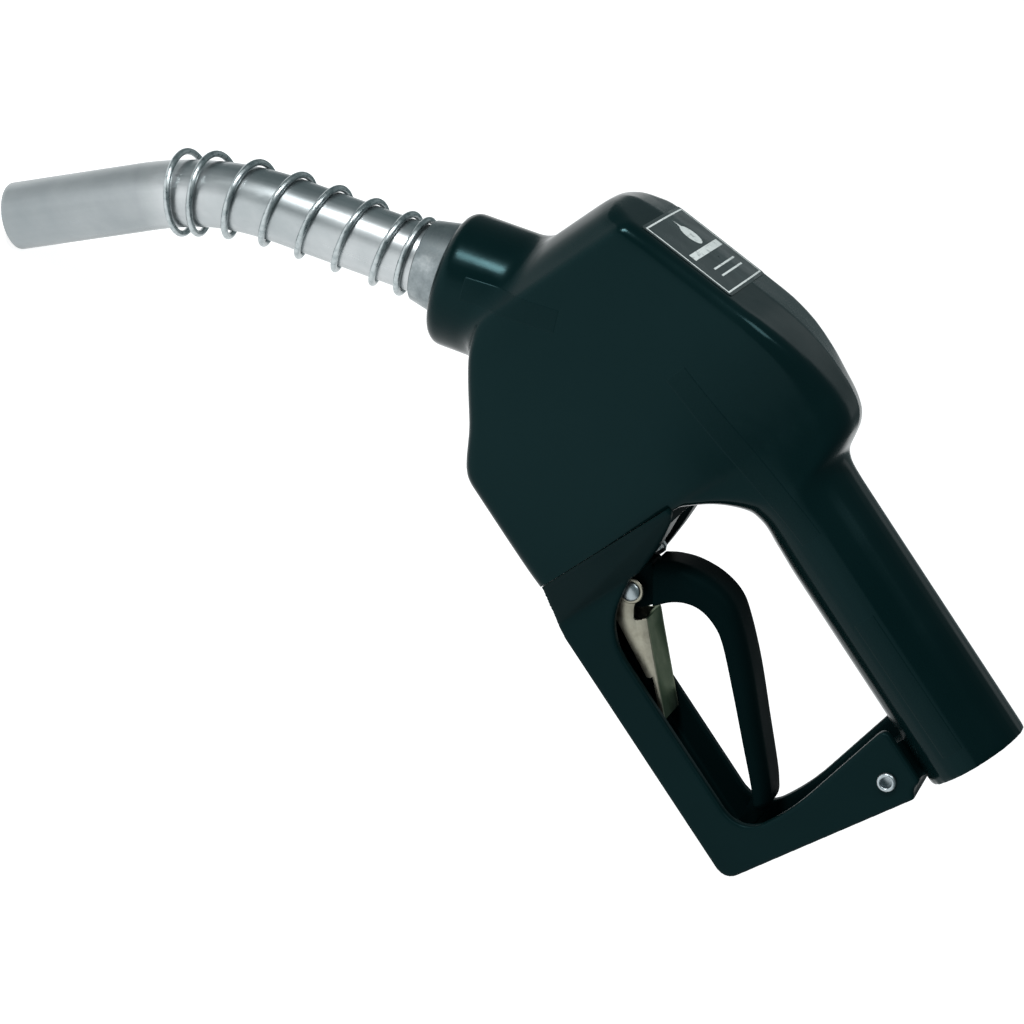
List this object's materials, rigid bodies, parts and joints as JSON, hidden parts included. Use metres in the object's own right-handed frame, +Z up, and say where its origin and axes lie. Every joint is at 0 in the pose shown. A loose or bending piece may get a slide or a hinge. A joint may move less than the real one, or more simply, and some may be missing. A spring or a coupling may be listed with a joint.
{
  "type": "automatic fuel nozzle",
  "caption": "Lever-operated automatic shut-off fuel nozzle: covered handle and valve body, lever guard, squeeze lever, hold-open clip and a bent metal spout with a spring.",
  "frame": {"origin": "centre of the hose inlet, on the rear end face of the handle", "axes": "+X forward along the handle, +Z up towards the roof of the body, +Y to the left"},
  "size_m": [0.3544, 0.057, 0.2328],
  "materials": {
    "cover_vinyl": "glossy moulded vinyl",
    "guard_nylon": "satin glass-filled nylon",
    "lever_nylon": "satin glass-filled nylon",
    "label_film": "satin printed film",
    "spout_aluminium": "drawn, lightly worn",
    "adapter_metal": "turned and plated",
    "spring_steel": "bright drawn wire",
    "clip_nickel": "satin nickel plate",
    "pin_aluminium": "satin headed pin",
    "cast_body": "as cast and machined",
    "steel": "plain steel",
    "brass": "turned",
    "rubber": "moulded seal rubber"
  },
  "bodies": {
    "housing": {"body_casting": "cast_body", "body_cover": "cover_vinyl", "cap_screw_1": "steel", "cap_screw_2": "steel", "cap_screw_3": "steel", "cap_screw_4": "steel", "check_guide": "brass", "check_spring": "steel", "diaphragm": "rubber", "diaphragm_cap": "cast_body", "diaphragm_spring": "steel", "guard_rivet": "pin_aluminium", "guard_screw_1": "steel", "guard_screw_2": "steel", "inlet_strainer": "steel", "label_plate": "label_film", "latch_bush": "brass", "latch_spring": "steel", "lever_guard": "guard_nylon", "spout_adapter": "adapter_metal", "spout_seal": "rubber", "spout_set_screw": "steel", "spout_spring": "spring_steel", "spout_tube": "spout_aluminium", "stem_gland": "brass", "stem_packing": "rubber", "vacuum_tube": "spout_aluminium", "valve_seat": "brass", "valve_spring": "steel"},
    "latch": {"latch_stem": "steel", "pivot_pin": "pin_aluminium", "pin_retaining_ring": "steel"},
    "lever": {"lever": "lever_nylon"},
    "hold_open": {"hold_open_clip": "clip_nickel", "clip_spring": "steel"},
    "valve": {"valve_stem": "steel", "main_poppet": "brass", "seat_disc": "rubber", "poppet_nut": "steel"},
    "release": {"release_pin": "steel"},
    "check_valve": {"check_poppet": "brass"}
  },
  "joints": [
    {"name": "latch_slide", "type": "slide", "parent": "housing", "child": "latch", "axis": [-1, 0, 0], "range_m": [0, 0.005], "stiffness_N_per_m": 2000, "springref_m": -0.01, "deforming": ["latch_spring"]},
    {"name": "lever_hinge", "type": "hinge", "parent": "latch", "child": "lever", "pos_m": [0.1108, 0, -0.07], "axis": [0, 1, 0], "range_deg": [0, 20], "stiffness_Nm_per_rad": 0.6, "springref_deg": -17.19},
    {"name": "clip_hinge", "type": "hinge", "parent": "latch", "child": "hold_open", "pos_m": [0.1108, 0, -0.07], "axis": [0, 1, 0], "range_deg": [0, 25], "stiffness_Nm_per_rad": 0.02, "springref_deg": -34.38, "deforming": ["clip_spring"]},
    {"name": "valve_slide", "type": "slide", "parent": "housing", "child": "valve", "axis": [1, 0, 0], "range_m": [0, 0.005], "deforming": ["valve_spring"]},
    {"name": "release_slide", "type": "slide", "parent": "housing", "child": "release", "axis": [0, -1, 0], "range_m": [0, 0.002], "stiffness_N_per_m": 800, "springref_m": -0.004, "deforming": ["diaphragm_spring"]},
    {"name": "check_slide", "type": "slide", "parent": "housing", "child": "check_valve", "axis": [0.7837, 0, -0.6211], "range_m": [0, 0.004], "stiffness_N_per_m": 300, "springref_m": -0.006, "deforming": ["check_spring"]}
  ],
  "couplings": [
    {"joint": "valve_slide", "follows": "lever_hinge", "m_per_rad": 0.014}
  ]
}
